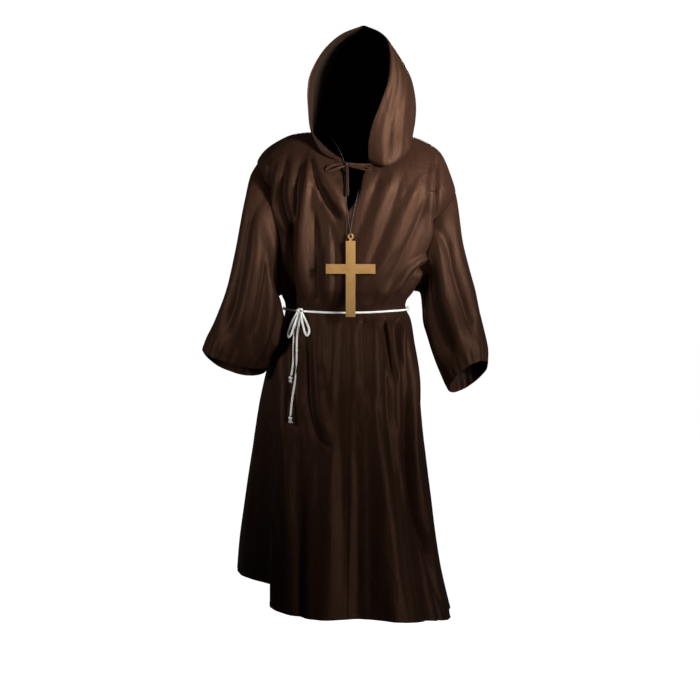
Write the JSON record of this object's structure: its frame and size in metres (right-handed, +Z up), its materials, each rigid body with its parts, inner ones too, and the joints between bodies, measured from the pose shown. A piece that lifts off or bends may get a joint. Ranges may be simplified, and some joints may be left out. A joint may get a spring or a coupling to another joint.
{
  "type": "hooded monk robe with rope belt and cross pendant, in its worn form, held up by its wearer",
  "caption": "Long hooded robe with wide sleeves, hollow and in its worn form, tied with a rope; a cross hangs on a cord and swings.",
  "frame": {"origin": "at the base of the wearer's neck, where the shoulders carry the robe", "axes": "+Z up, the robe's front faces -Y, the wearer's right side is -X"},
  "size_m": [0.7875, 0.5257, 1.6305],
  "materials": {
    "robe_cloth": "dark brown polyester satin with a soft sheen",
    "rope": "off-white twisted rope",
    "cord": "thin black cord",
    "cross": "gold-coloured plastic"
  },
  "bodies": {
    "robe": {"front_right": "robe_cloth", "front_left": "robe_cloth", "back": "robe_cloth", "sleeve_right": "robe_cloth", "sleeve_left": "robe_cloth", "hood_right": "robe_cloth", "hood_left": "robe_cloth", "neck_tie": "robe_cloth", "belt_carrier_right": "robe_cloth", "belt_carrier_left": "robe_cloth", "rope_waist": "rope", "rope_bow": "rope", "rope_tail_short": "rope", "rope_tail_long": "rope", "rope_end_short": "rope", "rope_end_long": "rope", "pendant_cord": "cord", "pendant_cord_knot": "cord"},
    "pendant": {"cross": "cross"}
  },
  "joints": [
    {"name": "pendant_swing", "type": "hinge", "parent": "robe", "child": "pendant", "pos_m": [-0.004, -0.1615, -0.28], "axis": [-1, 0, 0], "range_deg": [0, 60]}
  ]
}
